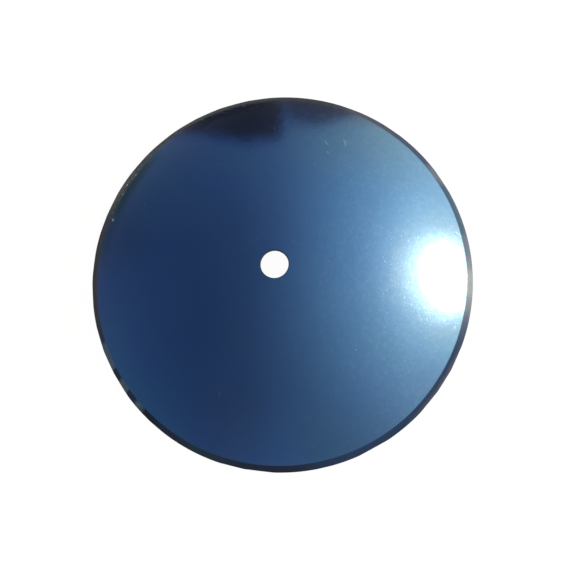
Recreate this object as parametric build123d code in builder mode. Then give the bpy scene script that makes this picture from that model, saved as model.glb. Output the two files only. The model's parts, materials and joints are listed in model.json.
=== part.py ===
from build123d import *
import os
from math import asin, cos, degrees, radians, sin

# A plain harrow disc blade: one round sheet of steel pressed into a shallow dome, with a punched
# centre hole and a cutting edge ground on the domed face.
# It lies dome up on its rim. The origin is the centre of the rim's plane and +Z runs up the hole.

# Driving dimensions, in millimetres and degrees
rim_diameter = 610.0
sheet_thickness = 6.0
dish_depth = 89.0  # from the rim's plane up to where the hollow face would meet the axis
bore_diameter = 41.3
bevel_angle = 17.0  # between the ground bevel and the sheet at the rim
edge_land = 0.8  # height of the blunt edge left under the bevel
punch_round = 1.0  # rolled lip of the hole on the domed face, where the punch went in
burr_chamfer = 0.5  # broken corner of the hole on the hollow face, where the punch came out

# The two faces are spheres about one centre, so the pressed sheet keeps its thickness all over.
rim_radius = rim_diameter / 2
bore_radius = bore_diameter / 2
hollow_radius = (rim_radius**2 + dish_depth**2) / (2 * dish_depth)
dome_radius = hollow_radius + sheet_thickness
sphere_centre = (0, dish_depth - hollow_radius)

# Both slopes are taken from the level, on the rim.
rim_slope = degrees(asin(rim_radius / hollow_radius))
bevel_slope = radians(rim_slope + bevel_angle)
up_the_bevel = (-cos(bevel_slope), sin(bevel_slope))


def face_arc(radius, mode=Mode.ADD):
    """The arc of one face of the sheet, from the rim's radius in to the bore's."""
    rim_reach = degrees(asin(rim_radius / radius))
    bore_reach = degrees(asin(bore_radius / radius))
    return CenterArc(sphere_centre, radius, 90 - rim_reach, rim_reach - bore_reach, mode=mode)


# disc_blade: half of the section of the dished sheet, turned about the axis
with BuildPart() as disc_blade:
    with BuildSketch(Plane.XZ) as section:
        with BuildLine():
            hollow_face = face_arc(hollow_radius)
            cutting_edge = Line(hollow_face @ 0, (rim_radius, edge_land))
            unground_dome = face_arc(dome_radius, mode=Mode.PRIVATE)
            bevel = IntersectingLine(cutting_edge @ 1, up_the_bevel, unground_dome)
            domed_face = RadiusArc(bevel @ 1, unground_dome @ 1, -dome_radius)
            Line(domed_face @ 1, hollow_face @ 1)
        make_face()
        fillet(section.vertices().group_by(Axis.X)[0].sort_by(Axis.Y)[-1], radius=punch_round)
        chamfer(section.vertices().group_by(Axis.X)[0].sort_by(Axis.Y)[0], length=burr_chamfer)
    revolve(axis=Axis.Z)

disc_blade.part.label = "disc_blade"

os.makedirs("parts", exist_ok=True)
export_step(disc_blade.part, "parts/disc_blade.step")
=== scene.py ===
import json
from math import asin, cos, pi, prod, radians, sin, sqrt

import bpy
from mathutils import Matrix, Vector

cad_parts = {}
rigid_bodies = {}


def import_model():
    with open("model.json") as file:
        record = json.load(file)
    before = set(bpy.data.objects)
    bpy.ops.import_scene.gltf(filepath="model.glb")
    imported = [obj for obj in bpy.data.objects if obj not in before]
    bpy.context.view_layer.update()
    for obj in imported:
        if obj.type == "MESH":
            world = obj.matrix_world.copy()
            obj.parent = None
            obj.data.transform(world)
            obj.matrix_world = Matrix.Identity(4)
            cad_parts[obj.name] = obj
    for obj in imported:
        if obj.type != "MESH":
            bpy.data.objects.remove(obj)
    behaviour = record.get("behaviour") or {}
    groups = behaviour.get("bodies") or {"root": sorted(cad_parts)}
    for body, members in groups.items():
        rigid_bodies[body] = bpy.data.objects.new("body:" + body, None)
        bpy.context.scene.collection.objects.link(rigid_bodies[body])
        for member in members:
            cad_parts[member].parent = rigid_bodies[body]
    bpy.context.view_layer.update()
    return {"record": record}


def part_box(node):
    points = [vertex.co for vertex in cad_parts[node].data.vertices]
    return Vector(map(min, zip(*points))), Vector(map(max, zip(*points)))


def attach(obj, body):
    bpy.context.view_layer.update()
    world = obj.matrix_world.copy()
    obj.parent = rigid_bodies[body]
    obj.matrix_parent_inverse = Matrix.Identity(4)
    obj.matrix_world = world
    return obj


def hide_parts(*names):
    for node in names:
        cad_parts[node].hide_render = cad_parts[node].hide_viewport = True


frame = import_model()

# The blade's node in the frame
BLADE = "disc_blade"

# Sizes of the blade, in metres. The rim and the hole come from the frame.
MILLIMETRE = 0.001
RIM_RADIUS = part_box(BLADE)[1].x
BORE_RADIUS = frame["record"]["mounts"][0]["dims"]["r_mm"] * MILLIMETRE
SHEET_THICKNESS = 0.006
DISH_DEPTH = 0.089
BEVEL_ANGLE = radians(17)
EDGE_LAND = 0.0008
LIP_ROUND = 0.00104
BURR_BREAK = 0.0005
HOLLOW_RADIUS = (RIM_RADIUS**2 + DISH_DEPTH**2) / (2 * DISH_DEPTH)
DOME_RADIUS = HOLLOW_RADIUS + SHEET_THICKNESS
SPHERE_CENTRE = Vector((0, 0, DISH_DEPTH - HOLLOW_RADIUS))

# The photograph's frame and camera. Pixels are given as (x, y), with y downwards.
PICTURE_PIXELS = 570
FOCAL_PIXELS = 668.6
SENSOR_WIDTH = 36
CAMERA_DISTANCE = 1.0711
VIEW_TILT = radians(10.63)  # between the hole's axis and the line from the rim's centre to the camera
NEAR_SIDE = radians(-69.1)  # where the near side of the rim shows in the picture, 0 to the right
RIM_CENTRE_PIXEL = (279.2, 275.95)

# How finely the sheet is turned
CIRCLE_STEPS = 480
TURN_STEPS = 600
BEVEL_CUTS = 5
LIP_SEGMENTS = 4
MERGE_DISTANCE = 0.00001
SMOOTH_ANGLE = radians(9)

# How near a polygon's middle comes to the sphere of the face that it belongs to
HOLLOW_MARGIN = 0.0001
DOME_MARGIN = 0.00002


# Camera

def through_pixel(pixel):
    """The line of sight through a pixel of the photograph, in the camera's axes, one metre deep."""
    half = PICTURE_PIXELS / 2
    return Vector(((pixel[0] - half) / FOCAL_PIXELS, (half - pixel[1]) / FOCAL_PIXELS, -1))


def blade_seen_by_camera():
    """Where the blade stands in the camera's own axes: X right, Y up, looking along -Z."""
    axis = Vector((-cos(NEAR_SIDE) * sin(VIEW_TILT), -sin(NEAR_SIDE) * sin(VIEW_TILT), cos(VIEW_TILT)))
    across = Vector((0, 1, 0)).cross(axis).normalized()
    up = axis.cross(across)
    turn = Matrix((across, up, axis)).transposed().to_4x4()
    return Matrix.Translation(through_pixel(RIM_CENTRE_PIXEL) * CAMERA_DISTANCE) @ turn


def add_camera():
    data = bpy.data.cameras.new("camera")
    data.sensor_width = SENSOR_WIDTH
    data.lens = FOCAL_PIXELS * SENSOR_WIDTH / PICTURE_PIXELS
    camera = bpy.data.objects.new("camera", data)
    camera.matrix_world = blade_seen_by_camera().inverted()
    bpy.context.scene.collection.objects.link(camera)
    bpy.context.scene.camera = camera


def on_dome(pixel):
    """The point of the domed face that shows at a pixel of the photograph."""
    to_blade = blade_seen_by_camera().inverted()
    eye = to_blade.translation
    ray = to_blade.to_3x3() @ through_pixel(pixel).normalized()
    start = eye - SPHERE_CENTRE
    along = start.dot(ray)
    return eye + ray * (-along - sqrt(along**2 - start.length_squared + DOME_RADIUS**2))


# Hand tools for a piece's mesh

def deselect():
    for thing in bpy.context.scene.objects:
        thing.select_set(False)


def edit(piece, kind, test):
    """Opens a piece for editing, with its vertices, edges or faces that pass a test selected."""
    deselect()
    piece.select_set(True)
    bpy.context.view_layer.objects.active = piece
    mesh = piece.data
    for group in (mesh.vertices, mesh.edges, mesh.polygons):
        group.foreach_set("select", [False] * len(group))
    chosen = {"VERT": mesh.vertices, "EDGE": mesh.edges, "FACE": mesh.polygons}[kind]
    for item in chosen:
        item.select = test(item)
    bpy.ops.object.mode_set(mode="EDIT")
    bpy.ops.mesh.select_mode(type=kind)


def done():
    bpy.ops.object.mode_set(mode="OBJECT")


def everything(item):
    return True


def near(*points):
    """A test for the vertices at one of some points."""
    return lambda vertex: any((vertex.co - Vector(point)).length < MERGE_DISTANCE for point in points)


def near_sphere(point, radius):
    return abs((point - SPHERE_CENTRE).length - radius) < SHEET_THICKNESS / 10


def join_ends(piece, *ends):
    edit(piece, "VERT", near(*ends))
    bpy.ops.mesh.edge_face_add()
    done()


def break_corner(piece, corner, length, segments):
    edit(piece, "VERT", near(corner))
    bpy.ops.mesh.bevel(offset=length, segments=segments, profile=0.5, affect="VERTICES")
    done()


def close_skin():
    """Merges doubles and turns every face outwards, on the piece that is open for editing."""
    bpy.ops.mesh.select_all(action="SELECT")
    bpy.ops.mesh.remove_doubles(threshold=MERGE_DISTANCE)
    bpy.ops.mesh.normals_make_consistent(inside=False)


# The blade's mesh

def face_arc(radius, outer_radius):
    """The section of one face of the sheet: a circle about the sphere's centre, cut down to its arc."""
    deselect()
    bpy.ops.mesh.primitive_circle_add(
        vertices=CIRCLE_STEPS, radius=radius, location=SPHERE_CENTRE, rotation=(pi / 2, 0, 0)
    )
    arc = bpy.context.object
    bpy.ops.object.transform_apply()
    cuts = (
        ((0, 0, 0), (0, 0, -1)),
        ((BORE_RADIUS, 0, 0), (-1, 0, 0)),
        ((outer_radius, 0, 0), (1, 0, 0))
    )
    for place, normal in cuts:
        edit(arc, "VERT", everything)
        bpy.ops.mesh.bisect(plane_co=place, plane_no=normal, clear_outer=True)
        done()
    return arc


def bevel_top():
    """Where the ground bevel runs out on the domed face, in the plane of the section."""
    slope = asin(RIM_RADIUS / HOLLOW_RADIUS) + BEVEL_ANGLE
    foot = Vector((RIM_RADIUS, 0, EDGE_LAND))
    up = Vector((-cos(slope), 0, sin(slope)))
    start = foot - SPHERE_CENTRE
    along = start.dot(up)
    return foot + up * (-along + sqrt(along**2 - start.length_squared + DOME_RADIUS**2))


def turn_blade():
    """The sheet's section is drawn from its two arcs, closed by the bevel and the bore, and spun."""
    blade = face_arc(HOLLOW_RADIUS, RIM_RADIUS)
    dome = face_arc(DOME_RADIUS, bevel_top().x)
    deselect()
    dome.select_set(True)
    blade.select_set(True)
    bpy.context.view_layer.objects.active = blade
    bpy.ops.object.join()
    blade.name = "blade"
    points = [vertex.co.copy() for vertex in blade.data.vertices]
    on_wall = [point for point in points if point.x < BORE_RADIUS + MERGE_DISTANCE]
    burr, lip = sorted(on_wall, key=lambda point: point.z)
    rim = max(points, key=lambda point: point.x)
    top = min((point for point in points if near_sphere(point, DOME_RADIUS)), key=lambda point: point.z)
    edit(blade, "VERT", near(rim))
    bpy.ops.mesh.extrude_region_move(TRANSFORM_OT_translate={"value": (0, 0, EDGE_LAND)})
    done()
    land = rim + Vector((0, 0, EDGE_LAND))
    join_ends(blade, land, top)
    edit(blade, "VERT", near(land, top))
    bpy.ops.mesh.subdivide(number_cuts=BEVEL_CUTS)
    done()
    join_ends(blade, burr, lip)
    break_corner(blade, lip, LIP_ROUND, LIP_SEGMENTS)
    break_corner(blade, burr, BURR_BREAK, 1)
    edit(blade, "VERT", everything)
    bpy.ops.mesh.spin(steps=TURN_STEPS, angle=2 * pi, center=(0, 0, 0), axis=(0, 0, 1))
    close_skin()
    done()
    return blade


# Flats worn on the rim: where each one lies round the axis, and half the angle that it takes
RIM_FLATS = (
    (30.5, 4.1), (52.8, 3.2), (67.9, 3.4), (97.3, 3.9), (105.1, 4.6), (114.2, 4.0), (121, 3.3), (131, 3.2),
    (141.5, 3.7), (157, 4.4), (162.7, 3.8), (176, 3.4), (186, 3.7), (200, 4.0), (208.2, 4.6), (214.4, 4.8),
    (232, 2.6), (257.2, 4.3), (264.4, 4.8), (284, 2.2), (298.9, 4.6), (320.2, 4.4), (327, 4.1), (335.2, 3.9)
)


def wear_flats(piece):
    for middle, half in RIM_FLATS:
        side = Vector((cos(radians(middle)), sin(radians(middle)), 0))
        edit(piece, "FACE", everything)
        bpy.ops.mesh.bisect(
            plane_co=side * RIM_RADIUS * cos(radians(half)), plane_no=side, clear_outer=True, use_fill=True
        )
        done()
    edit(piece, "FACE", everything)
    close_skin()
    done()


# Shader nodes, written as expressions

class Value:
    """The output of a shader node. Sums, products and powers of values add Math nodes."""

    def __init__(self, nodes, output):
        self.nodes = nodes
        self.output = output

    def beside(self, name):
        """Another output of the same node."""
        return Value(self.nodes, self.output.node.outputs[name])

    def __add__(self, other):
        return self.nodes.maths("ADD", self, other)

    def __sub__(self, other):
        return self.nodes.maths("SUBTRACT", self, other)

    def __rsub__(self, other):
        return self.nodes.maths("SUBTRACT", other, self)

    def __mul__(self, other):
        return self.nodes.maths("MULTIPLY", self, other)

    def __truediv__(self, other):
        return self.nodes.maths("DIVIDE", self, other)

    def __pow__(self, other):
        return self.nodes.maths("POWER", self, other)

    __radd__ = __add__
    __rmul__ = __mul__


class Nodes:
    """The nodes of a material, or of the world."""

    def __init__(self, tree):
        self.tree = tree
        tree.nodes.clear()

    def add(self, kind, settings=None, inputs=None, output=0):
        """Adds a node, with its settings and then the values or links of its sockets."""
        node = self.tree.nodes.new(kind)
        for name, setting in (settings or {}).items():
            setattr(node, name, setting)
        for name, value in (inputs or {}).items():
            if isinstance(value, Value):
                self.tree.links.new(value.output, node.inputs[name])
            else:
                node.inputs[name].default_value = value
        return Value(self, node.outputs[output]) if node.outputs else None

    def maths(self, operation, *terms):
        return self.add("ShaderNodeMath", {"operation": operation}, dict(enumerate(terms)))

    def vector(self, operation, *terms, output=0):
        return self.add("ShaderNodeVectorMath", {"operation": operation}, dict(enumerate(terms)), output)

    def most(self, *terms):
        result = terms[0]
        for term in terms[1:]:
            result = self.maths("MAXIMUM", result, term)
        return result

    def rise(self, value, low, high):
        """A smooth step, from 0 at one value to 1 at the other."""
        inputs = {"Value": value, "From Min": low, "From Max": high}
        return self.add("ShaderNodeMapRange", {"interpolation_type": "SMOOTHSTEP"}, inputs)

    def blend(self, share, first, second):
        """A colour between two others."""
        colours = {6: (*first, 1) if isinstance(first, tuple) else first}
        colours[7] = (*second, 1) if isinstance(second, tuple) else second
        return self.add("ShaderNodeMix", {"data_type": "RGBA"}, {0: share, **colours}, output=2)


SPOT_CORE = 0.35  # share of a spot's size within which it is full
STROKE_CORE = 0.2  # share of a stroke's width within which it is full, and at which it ends
STROKE_END = 0.6


class Finish(Nodes):
    """A finish of the blade, laid out in the blade's own coordinates."""

    def __init__(self, name):
        self.material = bpy.data.materials.new(name)
        self.material.use_nodes = True
        super().__init__(self.material.node_tree)
        self.place = self.add("ShaderNodeTexCoord", output="Object")
        self.x = self.add("ShaderNodeSeparateXYZ", inputs={0: self.place})
        self.y = self.x.beside("Y")
        self.z = self.x.beside("Z")

    def noise(self, size, detail=2, roughness=0.5, seed=0):
        """Noise with lumps of about a size, in metres."""
        inputs = {"Vector": self.place, "W": seed, "Scale": 1 / size}
        inputs.update({"Detail": detail, "Roughness": roughness})
        return self.add("ShaderNodeTexNoise", {"noise_dimensions": "4D"}, inputs)

    def specks(self, low, high, **lumps):
        """0 to 1 where noise passes from one value to another."""
        return self.rise(self.noise(**lumps), low, high)

    def apart(self, point):
        """Distance from a point."""
        return self.vector("DISTANCE", self.place, tuple(point), output="Value")

    def spot(self, pixel, size):
        """1 on a spot that shows at a pixel of the photograph, 0 around it."""
        return 1 - self.rise(self.apart(on_dome(pixel)), size * SPOT_CORE, size)

    def area(self, pixel, core, end):
        """1 round a pixel of the photograph, out to one distance, and 0 from another."""
        return 1 - self.rise(self.apart(on_dome(pixel)), core, end)

    def stroke(self, start_pixel, end_pixel, width):
        """1 on a straight stroke between two pixels of the photograph."""
        start, end = on_dome(start_pixel), on_dome(end_pixel)
        run = end - start
        offset = self.vector("SUBTRACT", self.place, tuple(start))
        along = self.vector("DOT_PRODUCT", offset, tuple(run / run.length_squared), output="Value")
        share = self.add("ShaderNodeClamp", inputs={"Value": along})
        foot = self.add("ShaderNodeVectorMath", {"operation": "SCALE"}, {0: tuple(run), "Scale": share})
        away = self.vector("DISTANCE", offset, foot, output="Value")
        return 1 - self.rise(away, width * STROKE_CORE, width * STROKE_END)

    def from_axis(self):
        return self.vector("LENGTH", self.vector("MULTIPLY", self.place, (1, 1, 0)), output="Value")

    def toward_bevel(self, reach, start, full):
        """0 to 1 as a distance from the axis nears the bevel, between two distances in from it."""
        return self.rise(reach, BEVEL_TOP - start, BEVEL_TOP - full)

    def toward(self, angle):
        """Cosine of the angle round the axis from a direction in the rim's plane."""
        direction = (cos(angle), sin(angle), 0)
        return self.vector("DOT_PRODUCT", self.place, direction, output="Value") / self.from_axis()

    def sector(self, start, end, fade, share=1):
        """A share within a sector of the rim, given by two angles in degrees, fading over some degrees."""
        half = radians(end - start) / 2
        nearness = self.toward(radians(start) + half)
        inside = self.rise(nearness, cos(half + radians(fade)), cos(max(half - radians(fade), 0)))
        return inside if share == 1 else inside * share

    def lay(self, colour, *stretches):
        """Lays other colours over a colour, each on its own sector of the rim."""
        for tone, sector in stretches:
            colour = self.blend(self.sector(*sector), colour, tone)
        return colour

    def bump(self, height, strength, distance):
        inputs = {"Height": height, "Strength": strength, "Distance": distance}
        return self.add("ShaderNodeBump", inputs=inputs)

    def metal(self, colour, roughness, others):
        """Ends the finish with a metal's shader."""
        inputs = {"Base Color": colour, "Metallic": 1, "Roughness": roughness, **others}
        shader = self.add("ShaderNodeBsdfPrincipled", inputs=inputs)
        self.add("ShaderNodeOutputMaterial", inputs={"Surface": shader})
        return self.material


# The blued faces

DEEP_BLUE = (0.008, 0.066, 0.240)
# PALE_BLUE is painted light where it pales the lit right side, and it is also the colour of the random
# clouds
PALE_BLUE = (0.030, 0.104, 0.226)
GRIT = (0.45, 0.47, 0.48)
GREEN_PAINTED_REFLECTION = (0.010, 0.052, 0.082)
SEAM_BLUE = (0.022, 0.052, 0.100)
VIOLET_PAINTED_REFLECTION = (0.018, 0.026, 0.085)
WORN_BROWN = (0.046, 0.048, 0.056)

# Painted light: the blue pales from left to right, towards the lit side, between two places along X, on a
# front that wanders
PALE_FROM = -0.12
PALE_TO = 0.32
WANDER = 0.12
CLOUDS = {"size": 0.05, "detail": 4, "low": 0.35, "high": 0.7}
CLOUD_SHARE = 0.10

# Bands beside the bevel: how far in from it each one starts and is full, in metres
BEVEL_TOP = bevel_top().x
SHADE_BAND = (0.025, 0.007)
DARK_TOP_BAND = (0.024, 0.004)
SEAM_BAND = (0.0014, 0.0008)
FRINGE_START = 0.0018
FRINGE_MORE = 0.0022
FRINGE_FADE = 0.0034
RAGGED = {"size": 0.010, "detail": 4, "roughness": 0.6}
RAGGED_DEPTH = 0.007

# Where they lie round the rim: two angles and the fade in degrees, and the share
# SHADED and LESS_SHADED hold a painted reflection: a dark green shade just inside the bevel, upper left
SHADED = (142, 156, 10)
LESS_SHADED = (156, 172, 8, 0.45)
SHADE_SHARE = 0.85
FRINGED = (50, 190, 12)
FRINGE_SHARE = 0.8
WIDE_FRINGE = (144, 160, 8)
SEAMED = (-42, 55, 10)
# Painted reflection: a dark violet band inside the bevel along the top of the rim, with less coat at its
# middle
DARK_TOP = (66, 118, 12)
DARK_TOP_SHARE = 0.65
LESS_COAT_AT_TOP = (98, 116, 8)
GRITTY = (140, 156, 8)

# The clear coat over the blue, and how much of it the painted green reflection and the painted dark band at
# the top lose
COAT = 0.74
COAT_LOSS = 0.5
COAT_ROUGHNESS = 0.32
COAT_IOR = 1.5

# Grit in the finish: the pixel of the photograph where each grain shows, its size and how pale it is
GRAINS = (
    ((127, 185), 0.0026, 0.95), ((113, 220), 0.0034, 0.8), ((113, 228), 0.0018, 0.12),
    ((138, 188), 0.0012, 0.25), ((145, 204.5), 0.0012, 0.25), ((191, 199), 0.0011, 0.2),
    ((257, 239), 0.0012, 0.25), ((293, 241), 0.0012, 0.2), ((303, 245), 0.0011, 0.2),
    ((405, 361), 0.0013, 0.15), ((386, 373), 0.0013, 0.15), ((356, 350), 0.0012, 0.25),
    ((308, 150), 0.0013, 0.12), ((225, 306), 0.0013, 0.12), ((444.5, 320.5), 0.0024, 0.12),
    ((455, 327), 0.0026, 0.10), ((385, 261.5), 0.0017, 0.15), ((405, 297.5), 0.0016, 0.15),
    ((424.5, 307), 0.0020, 0.12), ((414.5, 296), 0.0016, 0.12), ((408.5, 282.5), 0.0015, 0.12),
    ((408.5, 241), 0.0017, 0.12), ((386.5, 290.5), 0.0014, 0.12), ((408.5, 221), 0.0014, 0.12),
    ((401.5, 236), 0.0014, 0.12), ((431, 309), 0.0016, 0.12), ((391, 264.5), 0.0013, 0.12),
    ((421.5, 319), 0.0014, 0.12), ((413.5, 251), 0.0013, 0.12)
)

# Scratches in it: both ends as pixels of the photograph, the width and how pale it is
SCRATCHES = (
    ((325, 141), (328, 145), 0.0018, 0.22), ((344, 140), (345.5, 145), 0.0020, 0.22),
    ((347, 141), (345.5, 145), 0.0018, 0.16), ((327, 151.5), (328.5, 153.5), 0.0018, 0.22),
    ((313, 164), (316, 165), 0.0016, 0.14), ((219, 391), (219.5, 398), 0.0022, 0.10),
    ((261, 97), (259, 104), 0.0018, 0.05), ((259, 104), (255.5, 107), 0.0018, 0.05),
    ((349, 115), (349, 130), 0.0013, 0.06)
)
RIM_GRIT = {"size": 0.0034, "detail": 1, "seed": 4, "low": 0.58, "high": 0.64}
RIM_GRIT_SHARE = 0.6
DUST = {"size": 0.0026, "detail": 1, "seed": 5, "low": 0.66, "high": 0.74}
DUST_SHARE = 0.12
HAZE = {"size": 0.009, "detail": 4, "roughness": 0.65, "seed": 2, "low": 0.42, "high": 0.66}
HAZE_SHARE = 0.026

# Relief of the finish: nibs stand out, scuffs lie along the ridges of a noise, peel and waves are all over
NIBS = {"size": 0.0040, "detail": 2, "roughness": 0.6, "low": 0.62, "high": 0.69}
SCUFF_LINES = {"size": 0.018, "detail": 2, "seed": 3}
SCUFF_LINE_WIDTH = (0.004, 0.022)
NOISE_MIDDLE = 0.5
SCUFF_PATCHES = {"size": 0.012, "seed": 7, "low": 0.50, "high": 0.60}
PEEL = {"size": 0.0065, "detail": 2}
WAVES = {"size": 0.014, "detail": 1}
PEEL_HEIGHT = 0.14
WAVE_HEIGHT = 0.25
NIB_HEIGHT = 0.12
RELIEF = 0.0004

# Two places where it differs, each by its pixel and the distances where it is full and where it ends
SCUFFED_PLACE = ((436, 314), 0.015, 0.055)
SCUFFED_PEEL = 0.30
DULLED_PLACE = ((432, 276), 0.055, 0.120)
DULLED_PEEL = 0.07
DULLED_NIBS = 0.05

# How rough it is, and what each mark adds
ROUGHNESS = 0.09
DULLED_ROUGHNESS = 0.08
SMEARS = {"size": 0.03, "detail": 3}
SMEAR_ROUGHNESS = 0.04
NIB_ROUGHNESS = 0.10
SCUFF_ROUGHNESS = 0.06
MARK_ROUGHNESS = 0.3


def rim_bands(paint, colour):
    """A painted green reflection and a painted dark band at the top, wear and a seam beside the bevel: the
    colour, the coat's weight and the fringe.
    """
    reach = paint.from_axis() + paint.noise(**RAGGED) * RAGGED_DEPTH
    # Painted reflection: a dark green shade inside the bevel, upper left, where the coat is also thinner
    painted_reflection = paint.toward_bevel(reach, *SHADE_BAND)
    painted_reflection = painted_reflection * paint.most(paint.sector(*SHADED), paint.sector(*LESS_SHADED))
    colour = paint.blend(painted_reflection * SHADE_SHARE, colour, GREEN_PAINTED_REFLECTION)
    width = FRINGE_START + paint.sector(*WIDE_FRINGE) * FRINGE_MORE
    fringe = paint.toward_bevel(reach, width, width - FRINGE_FADE)
    colour = paint.blend(fringe * paint.sector(*FRINGED) * FRINGE_SHARE, colour, WORN_BROWN)
    seam = paint.toward_bevel(paint.from_axis(), *SEAM_BAND) * paint.sector(*SEAMED)
    colour = paint.blend(seam, colour, SEAM_BLUE)
    # Painted reflection: darker and violet along the top beside the bevel
    painted_dark_top = paint.toward_bevel(reach, *DARK_TOP_BAND) * (1 - fringe)
    colour = paint.blend(painted_dark_top * paint.sector(*DARK_TOP) * DARK_TOP_SHARE, colour, VIOLET_PAINTED_REFLECTION)
    coat = (1 - painted_reflection * (1 - fringe) * COAT_LOSS) * (1 - seam) * (1 - painted_dark_top * paint.sector(*LESS_COAT_AT_TOP) * COAT_LOSS)
    return colour, coat * COAT, fringe


def marks_on_face(paint, fringe):
    """Grains, scratches and the grit in the worn fringe."""
    grains = [paint.spot(pixel, size) * pallor for pixel, size, pallor in GRAINS]
    scratches = [paint.stroke(start, end, width) * pallor for start, end, width, pallor in SCRATCHES]
    grit = paint.specks(**RIM_GRIT) * fringe * paint.sector(*GRITTY)
    return paint.most(*grains, *scratches, grit * RIM_GRIT_SHARE)


def relief(paint, marks):
    """The fine relief of the finish as a normal, and how rough it is."""
    nibs = paint.specks(**NIBS)
    ridge = paint.maths("ABSOLUTE", paint.noise(**SCUFF_LINES) - NOISE_MIDDLE)
    scuffs = (1 - paint.rise(ridge, *SCUFF_LINE_WIDTH)) * paint.specks(**SCUFF_PATCHES)
    dulled = paint.area(*DULLED_PLACE)
    peel_height = PEEL_HEIGHT + paint.area(*SCUFFED_PLACE) * SCUFFED_PEEL - dulled * DULLED_PEEL
    height = paint.noise(**PEEL) * peel_height + paint.noise(**WAVES) * WAVE_HEIGHT
    height = height + (nibs - scuffs) * (NIB_HEIGHT - dulled * DULLED_NIBS)
    roughness = ROUGHNESS + dulled * DULLED_ROUGHNESS + paint.noise(**SMEARS) * SMEAR_ROUGHNESS
    roughness = roughness + nibs * NIB_ROUGHNESS + scuffs * SCUFF_ROUGHNESS + marks * MARK_ROUGHNESS
    return paint.bump(height, 1, RELIEF), roughness


def blued_face():
    paint = Finish("blued_face")
    # Painted light: the blue is paler towards the lit right side
    painted_light_drift = paint.rise(paint.x + paint.noise(WANDER) * WANDER, PALE_FROM, PALE_TO)
    colour = paint.blend(painted_light_drift, DEEP_BLUE, PALE_BLUE)
    colour = paint.blend(paint.specks(**CLOUDS) * CLOUD_SHARE, colour, PALE_BLUE)
    colour, coat, fringe = rim_bands(paint, colour)
    marks = marks_on_face(paint, fringe)
    colour = paint.blend(marks, colour, GRIT)
    pale = paint.specks(**DUST) * DUST_SHARE + paint.specks(**HAZE) * HAZE_SHARE
    # Dust and haze specks, shown only where the painted light pales the blue on the right: real specks,
    # placed by painted light
    colour = paint.blend(pale * painted_light_drift, colour, GRIT)
    normal, roughness = relief(paint, marks)
    lacquer = {"Coat Weight": coat, "Coat Roughness": COAT_ROUGHNESS, "Coat IOR": COAT_IOR}
    return paint.metal(colour, roughness, {"Normal": normal, **lacquer})


# The ground bevel

BLUE_BLACK = (0.020, 0.026, 0.046)
# BLUE_STEEL, PALE_STEEL and GREEN_STEEL are painted reflection, lighter on the right of the bevel towards
# the window
BLUE_STEEL = (0.027, 0.050, 0.105)
PALE_STEEL = (0.100, 0.145, 0.215)
GREEN_STEEL = (0.105, 0.113, 0.180)
# Painted glints on the right of the bevel, where it would mirror the window
GLINT_GREY = (0.20, 0.225, 0.265)
GLINT_CORE_GREY = (0.31, 0.375, 0.435)
WORN_GREY = (0.090, 0.092, 0.095)
RUBBED_GREY = (0.090, 0.092, 0.120)
INNER_BLUE = (0.045, 0.112, 0.180)
DARK_BROWN = (0.044, 0.045, 0.052)
FACE_BLUE = (0.068, 0.104, 0.135)
GREEN_BLACK = (0.021, 0.036, 0.054)
BRIGHT_FLECK = (0.34, 0.33, 0.31)
NEAR_BLACK = (0.008, 0.009, 0.010)
MILD_TINT = (0.5, 0.5, 0.5, 1)

# Colours along the bevel, each with its sector: two angles and the fade in degrees, and its share
# Painted reflection: on the right the bevel is lighter and bluer towards the window
RIGHT_SIDE = (
    (BLUE_STEEL, (284, 345, 12)),
    (PALE_STEEL, (345, 395, 10)),
    (GREEN_STEEL, (33, 72, 10))
)
LEFT_SIDE = (
    (WORN_BROWN, (72, 160, 10)),
    (WORN_GREY, (146, 160, 6, 0.7)),
    (DARK_BROWN, (162, 196, 10))
)
LOWER_LEFT = (
    (GREEN_BLACK, (242, 254, 5)),
    (NEAR_BLACK, (226.3, 230.5, 1.5, 0.4))
)
INNER_BLUED = (4, 56, 10, 0.7)
OUTER_RUBBED = (318, 334, 8, 0.9)
# Painted glint: bright grey on the right of the bevel, where it would mirror the window
PAINTED_GLINT = ((-9, 3, 6), (6, 11, 3, 0.4), (30.5, 36, 2.5, 0.7))
GLINT_CORE = (-5, 0, 3, 0.5)

# The outer half of the bevel, by height over the floor, and a darker line along its lowest edge
OUTER_HALF = (0.004, 0.013)
OUTER_RAGGED = 0.004
LOWEST_EDGE = (0.0012, 0.0030)
DARKER_LOWEST_EDGE = (100, 240, 10, 0.8)

# Where the grinding wheel bit deeper, lower left: the angles where each bite starts and runs out
BITES = ((189, 202.4), (209.8, 214.9), (217.7, 223.1), (225.6, 243))
FULL_TURN = 2 * pi
BITE_START = 0.8
BITE_RUN_OUT = 1.6
BETWEEN_BITES = (198, 238, 4)
BETWEEN_SHARE = 0.9
DEEP_BITES = (226, 244, 3, 0.75)

# Steel that shows as flecks in the worn brown, and the blotches and grinding lines all over
FLECKS = {"size": 0.0034, "detail": 1, "low": 0.59, "high": 0.66}
FLECKED = (114, 156, 8, 0.5)
BLOTCHES = {"size": 0.012, "detail": 3}
BLOTCH_RANGE = (0.35, 0.75)
BLOTCH_SHARE = 0.25
GRINDING_LINES = {"size": 0.0006, "detail": 2}
GRINDING_STRENGTH = 0.3
GRINDING_DEPTH = 0.0001
BEVEL_ROUGHNESS = 0.3
BLOTCH_ROUGHNESS = 0.15


def wheel_bites(steel):
    """1 on the bites: sharp where the wheel went in, and run out where it left."""
    turn = steel.maths("ARCTAN2", steel.y, steel.x) + FULL_TURN
    bites = []
    for start, end in BITES:
        entered = steel.rise(turn, radians(start), radians(start + BITE_START))
        left = steel.rise(turn, radians(end - BITE_RUN_OUT), radians(end))
        bites.append(entered * (1 - left))
    return steel.most(*bites)


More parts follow.
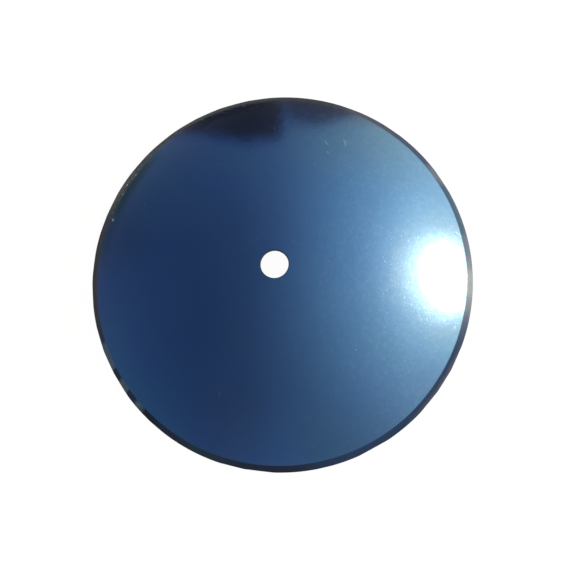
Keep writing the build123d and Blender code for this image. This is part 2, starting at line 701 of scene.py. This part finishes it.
def ground_bevel():
    steel = Finish("ground_bevel")
    blotch = steel.noise(**BLOTCHES)
    # Painted reflection on the right of the bevel
    colour = steel.lay(BLUE_BLACK, *RIGHT_SIDE)
    outer = 1 - steel.rise(steel.z + blotch * OUTER_RAGGED, *OUTER_HALF)
    colour = steel.blend((1 - outer) * steel.sector(*INNER_BLUED), colour, INNER_BLUE)
    colour = steel.blend(outer * steel.sector(*OUTER_RUBBED), colour, RUBBED_GREY)
    colour = steel.lay(colour, *LEFT_SIDE)
    between = steel.sector(*BETWEEN_BITES) * (1 - wheel_bites(steel))
    colour = steel.blend(between * (BETWEEN_SHARE - steel.sector(*DEEP_BITES)), colour, FACE_BLUE)
    colour = steel.lay(colour, *LOWER_LEFT)
    colour = steel.blend(steel.specks(**FLECKS) * steel.sector(*FLECKED), colour, BRIGHT_FLECK)
    # Painted glint on the right of the bevel
    painted_glint = steel.most(*(steel.sector(*sector) for sector in PAINTED_GLINT))
    colour = steel.blend(painted_glint, colour, GLINT_GREY)
    colour = steel.lay(colour, (GLINT_CORE_GREY, GLINT_CORE))
    # Darker along the lowest edge of the bevel, on the left half
    edge = 1 - steel.rise(steel.z, *LOWEST_EDGE)
    colour = steel.blend(edge * steel.sector(*DARKER_LOWEST_EDGE), colour, NEAR_BLACK)
    colour = steel.blend(steel.rise(blotch, *BLOTCH_RANGE) * BLOTCH_SHARE, colour, BLUE_BLACK)
    normal = steel.bump(steel.noise(**GRINDING_LINES), GRINDING_STRENGTH, GRINDING_DEPTH)
    roughness = BEVEL_ROUGHNESS + blotch * BLOTCH_ROUGHNESS
    return steel.metal(colour, roughness, {"Normal": normal, "Specular Tint": MILD_TINT})


# The wall of the hole

WALL_DARK = (0.008, 0.014, 0.030)
WALL_PALE = (0.022, 0.032, 0.048)
WALL_PATCHES = {"size": 0.003, "detail": 3}
WALL_ROUGHNESS = 0.35
WALL_PATCH_ROUGHNESS = 0.2


def bore_wall():
    steel = Finish("bore_wall")
    patch = steel.noise(**WALL_PATCHES)
    colour = steel.blend(patch, WALL_DARK, WALL_PALE)
    return steel.metal(colour, WALL_ROUGHNESS + patch * WALL_PATCH_ROUGHNESS, {})


def finish_blade(piece):
    """The two faces of the sheet, the bevel and the hole's wall each get their finish."""
    for material in (blued_face(), ground_bevel(), bore_wall()):
        piece.data.materials.append(material)
    face, bevel, wall = range(3)
    for polygon in piece.data.polygons:
        reach = Vector(polygon.center[:2]).length
        out = (polygon.center - SPHERE_CENTRE).length
        if reach < BORE_RADIUS + LIP_ROUND:
            polygon.material_index = wall
        elif HOLLOW_RADIUS + HOLLOW_MARGIN < out < DOME_RADIUS - DOME_MARGIN:
            polygon.material_index = bevel
        else:
            polygon.material_index = face
    deselect()
    piece.select_set(True)
    bpy.context.view_layer.objects.active = piece
    bpy.ops.object.shade_smooth_by_angle(angle=SMOOTH_ANGLE)


# The studio

FLOOR_SIZE = 12
FLOOR_WHITE = (0.9, 0.9, 0.9)
FLOOR_GLOW = 0.97  # share of the floor that shows as plain white, under the blade's shadow too
LAMP_PIXEL = (446.5, 277)  # where the domed face mirrors the lamp
LAMP_DISTANCE = 1.5
LAMP_WIDTH = 0.70
LAMP_HEIGHT = 0.655
LAMP_WATTS = 32.3
LAMP_COLOUR = (1, 0.86, 0.70)


def add_floor():
    bpy.ops.mesh.primitive_plane_add(size=FLOOR_SIZE)
    floor = bpy.context.object
    floor.name = "floor"
    material = bpy.data.materials.new("studio_floor")
    material.use_nodes = True
    nodes = Nodes(material.node_tree)
    ray = nodes.add("ShaderNodeLightPath", output="Is Camera Ray")
    seen = nodes.most(ray, ray.beside("Is Glossy Ray"), ray.beside("Is Transmission Ray"))
    plain = nodes.add("ShaderNodeBsdfDiffuse", inputs={"Color": (*FLOOR_WHITE, 1)})
    white = nodes.add("ShaderNodeEmission", inputs={"Color": (1, 1, 1, 1), "Strength": 1})
    mixed = nodes.add("ShaderNodeMixShader", inputs={0: seen * FLOOR_GLOW, 1: plain, 2: white})
    nodes.add("ShaderNodeOutputMaterial", inputs={"Surface": mixed})
    floor.data.materials.append(material)


def mirrored(pixel, distance):
    """The place that the domed face mirrors at a pixel, at a distance from the face."""
    point = on_dome(pixel)
    ray = point - blade_seen_by_camera().inverted().translation
    return point + ray.reflect(point - SPHERE_CENTRE).normalized() * distance


def add_lamp():
    data = bpy.data.lights.new("window", "AREA")
    data.shape = "ELLIPSE"
    data.size = LAMP_WIDTH
    data.size_y = LAMP_HEIGHT
    data.energy = LAMP_WATTS
    data.color = LAMP_COLOUR
    lamp = bpy.data.objects.new("window", data)
    lamp.location = mirrored(LAMP_PIXEL, LAMP_DISTANCE)
    lamp.rotation_euler = (on_dome(LAMP_PIXEL) - lamp.location).to_track_quat("-Z", "Y").to_euler()
    lamp.visible_camera = False
    bpy.context.scene.collection.objects.link(lamp)


# Light from all round. A limit is an axis of the direction, where it sets in and where it is full.

AMBIENT = 0.325
UPWARD = 0.024
TOPMOST = 0.36
RIGHT_START = -0.45
RIGHT_REACH = 1.16
RIGHT_POWER = 2.2
RIGHT_LEVEL = 1.45
RIGHT_ARCH = (1.13, 0.55, 0.62)
LEFT_START = -0.5
LEFT_LEVEL = 0.49
LEFT_SLOPE = 1.8
GLOW_ANGLES = (36, 14)
GLOW_LEVEL = 0.72
DIM_CORNER = (("x", -0.7, -0.95), ("y", 0.1, 0.4))
DIM_CORNER_LOSS = 0.22
DIM_TOP = (("y", 0.90, 0.98),)
DIM_TOP_LOSS = 0.32

# Two dark shapes of the studio, low over the far side: a tall one and a low one, with uneven outlines
DARK_FAR_SIDE = (("y", 0.5, 0.7),)
UNEVEN_SCALE = 9
UNEVEN_DETAIL = 3
UNEVEN = 0.12
TALL_HEIGHT = 0.43
TALL_SHOULDER = -0.12
TALL_SLOPE = 2
TALL_BLUR = (-0.08, 0.09)
TALL_END = -0.03
TALL_END_BLUR = (-0.02, 0.06)
TALL_END_UNEVEN = 0.6
TALL_DEPTH = 0.93
LOW_HEIGHT = 0.30
LOW_MIDDLE = 0.09
LOW_SLOPE = 6
LOW_BLUR = (-0.08, 0.08)
LOW_START = (-0.08, -0.02)
LOW_DEPTH = 0.78
DARK_TINT = (0.55, 0.95, 1.9)

# Tints from left to right, then casts over them
LEFT_TINT = (0.90, 0.99, 1.10)
LEFT_TO_RIGHT = (
    ((-0.6, -0.35), (0.87, 1.03, 1.16)),
    ((-0.2, 0.35), (0.87, 1.05, 1.01)),
    ((0.25, 0.75), (1.05, 1.06, 0.88))
)
NO_TINT = (1, 1, 1)
CASTS = (
    ((("y", 0.62, 0.95),), (1.17, 0.98, 0.80)),
    ((("x", -0.5, -0.65), ("y", 0.35, 0.6)), (1.02, 1.09, 0.98)),
    ((("x", -0.5, -0.7), ("y", -0.2, -0.5)), (0.95, 1.09, 1.04)),
    ((("x", -0.5, -0.7), ("y", -0.02, -0.18), ("z", 0.46, 0.34)), (1.00, 1.14, 1.00)),
    ((("x", 0.2, 0.45), ("y", -0.25, -0.55)), (1.00, 0.965, 1.07)),
    ((("x", -0.6, -0.4), ("x", 0, -0.3), ("y", -0.45, -0.70)), (1.02, 0.86, 0.82))
)
WARM_ANGLES = (29, 14)
WARM_TINT = (1.22, 1.12, 0.98)

# A warm ring of light round the window, flatter than a circle
RING_SQUEEZE = (1, 1.45, 1)
RING_REACH = (0.26, 0.42)
RING_LIGHT = (5.0, 2.0, 0.5)


class Surroundings(Nodes):
    """The world's light, by the direction that it comes from in the blade's own axes."""

    def __init__(self, tree):
        super().__init__(tree)
        self.way = self.add("ShaderNodeTexCoord", output="Generated")
        self.x = self.add("ShaderNodeSeparateXYZ", inputs={0: self.way})
        self.y = self.x.beside("Y")
        self.z = self.x.beside("Z")
        self.axes = {"x": self.x, "y": self.y, "z": self.z}
        self.window = tuple((mirrored(LAMP_PIXEL, 1) - on_dome(LAMP_PIXEL)).normalized())

    def past(self, *limits):
        """1 where the direction is past all of some limits."""
        shares = [self.rise(self.axes[axis], start, full) for axis, start, full in limits]
        return prod(shares[1:], start=shares[0])

    def near_window(self, outer, inner):
        """0 to 1 towards the window, between two angles from it in degrees."""
        nearness = self.vector("DOT_PRODUCT", self.way, self.window, output="Value")
        return self.rise(nearness, cos(radians(outer)), cos(radians(inner)))

    def dark_shapes(self):
        lumps = {"Vector": self.way, "Scale": UNEVEN_SCALE, "Detail": UNEVEN_DETAIL}
        uneven = self.add("ShaderNodeTexNoise", inputs=lumps) * UNEVEN - UNEVEN / 2
        tall_top = TALL_HEIGHT - self.most(TALL_SHOULDER - self.x, 0) ** 2 * TALL_SLOPE
        tall = 1 - self.rise(self.z - tall_top + uneven, *TALL_BLUR)
        tall = tall * self.rise(TALL_END - self.x + uneven * TALL_END_UNEVEN, *TALL_END_BLUR)
        low_top = LOW_HEIGHT - (self.x - LOW_MIDDLE) ** 2 * LOW_SLOPE
        low = (1 - self.rise(self.z - low_top + uneven, *LOW_BLUR)) * self.rise(self.x, *LOW_START)
        return self.past(*DARK_FAR_SIDE) * self.most(tall * TALL_DEPTH, low * LOW_DEPTH)

    def level(self, dark):
        """How bright it is: most towards the right and the window, more to the left and far sides."""
        x, y = self.x, self.y
        middle, slope, bend = RIGHT_ARCH
        right = self.maths("MINIMUM", self.most(x - RIGHT_START, 0), RIGHT_REACH) ** RIGHT_POWER
        right = right * (middle + y * slope - y * y * bend)
        left = self.most(LEFT_START - x, 0) ** 2 * (1 - y * LEFT_SLOPE)
        level = AMBIENT + y * UPWARD + y * y * y * y * TOPMOST + right * RIGHT_LEVEL + left * LEFT_LEVEL
        level = level + self.near_window(*GLOW_ANGLES) * GLOW_LEVEL
        level = level * (1 - dark) * (1 - self.past(*DIM_CORNER) * DIM_CORNER_LOSS)
        return level * (1 - self.past(*DIM_TOP) * DIM_TOP_LOSS)

    def cast(self, tint, share, colour):
        """A tint under a cast of a colour, which has a share of it."""
        return self.vector("MULTIPLY", tint, self.blend(share, NO_TINT, colour))

    def tint(self, dark):
        tint = LEFT_TINT
        for stretch, colour in LEFT_TO_RIGHT:
            tint = self.blend(self.rise(self.x, *stretch), tint, colour)
        for limits, colour in CASTS:
            tint = self.cast(tint, self.past(*limits), colour)
        tint = self.cast(tint, self.near_window(*WARM_ANGLES), WARM_TINT)
        return self.cast(tint, dark, DARK_TINT)

    def ring(self):
        away = self.vector("MULTIPLY", self.vector("SUBTRACT", self.way, self.window), RING_SQUEEZE)
        share = 1 - self.rise(self.vector("LENGTH", away, output="Value"), *RING_REACH)
        return self.blend(share, (0, 0, 0), RING_LIGHT)


def light_studio():
    """Soft light all round, dim and cool on the left and rising towards the window on the right."""
    world = bpy.data.worlds.new("studio")
    bpy.context.scene.world = world
    world.use_nodes = True
    around = Surroundings(world.node_tree)
    dark = around.dark_shapes()
    level = around.level(dark)
    grey = around.add("ShaderNodeCombineXYZ", inputs={0: level, 1: level, 2: level})
    light = around.vector("ADD", around.vector("MULTIPLY", around.tint(dark), grey), around.ring())
    background = around.add("ShaderNodeBackground", inputs={"Color": light})
    around.add("ShaderNodeOutputWorld", inputs={"Surface": background})


add_camera()
blade = turn_blade()
wear_flats(blade)
finish_blade(blade)
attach(blade, "root")
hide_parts(BLADE)
add_floor()
add_lamp()
light_studio()
bpy.context.scene.view_settings.view_transform = "Standard"
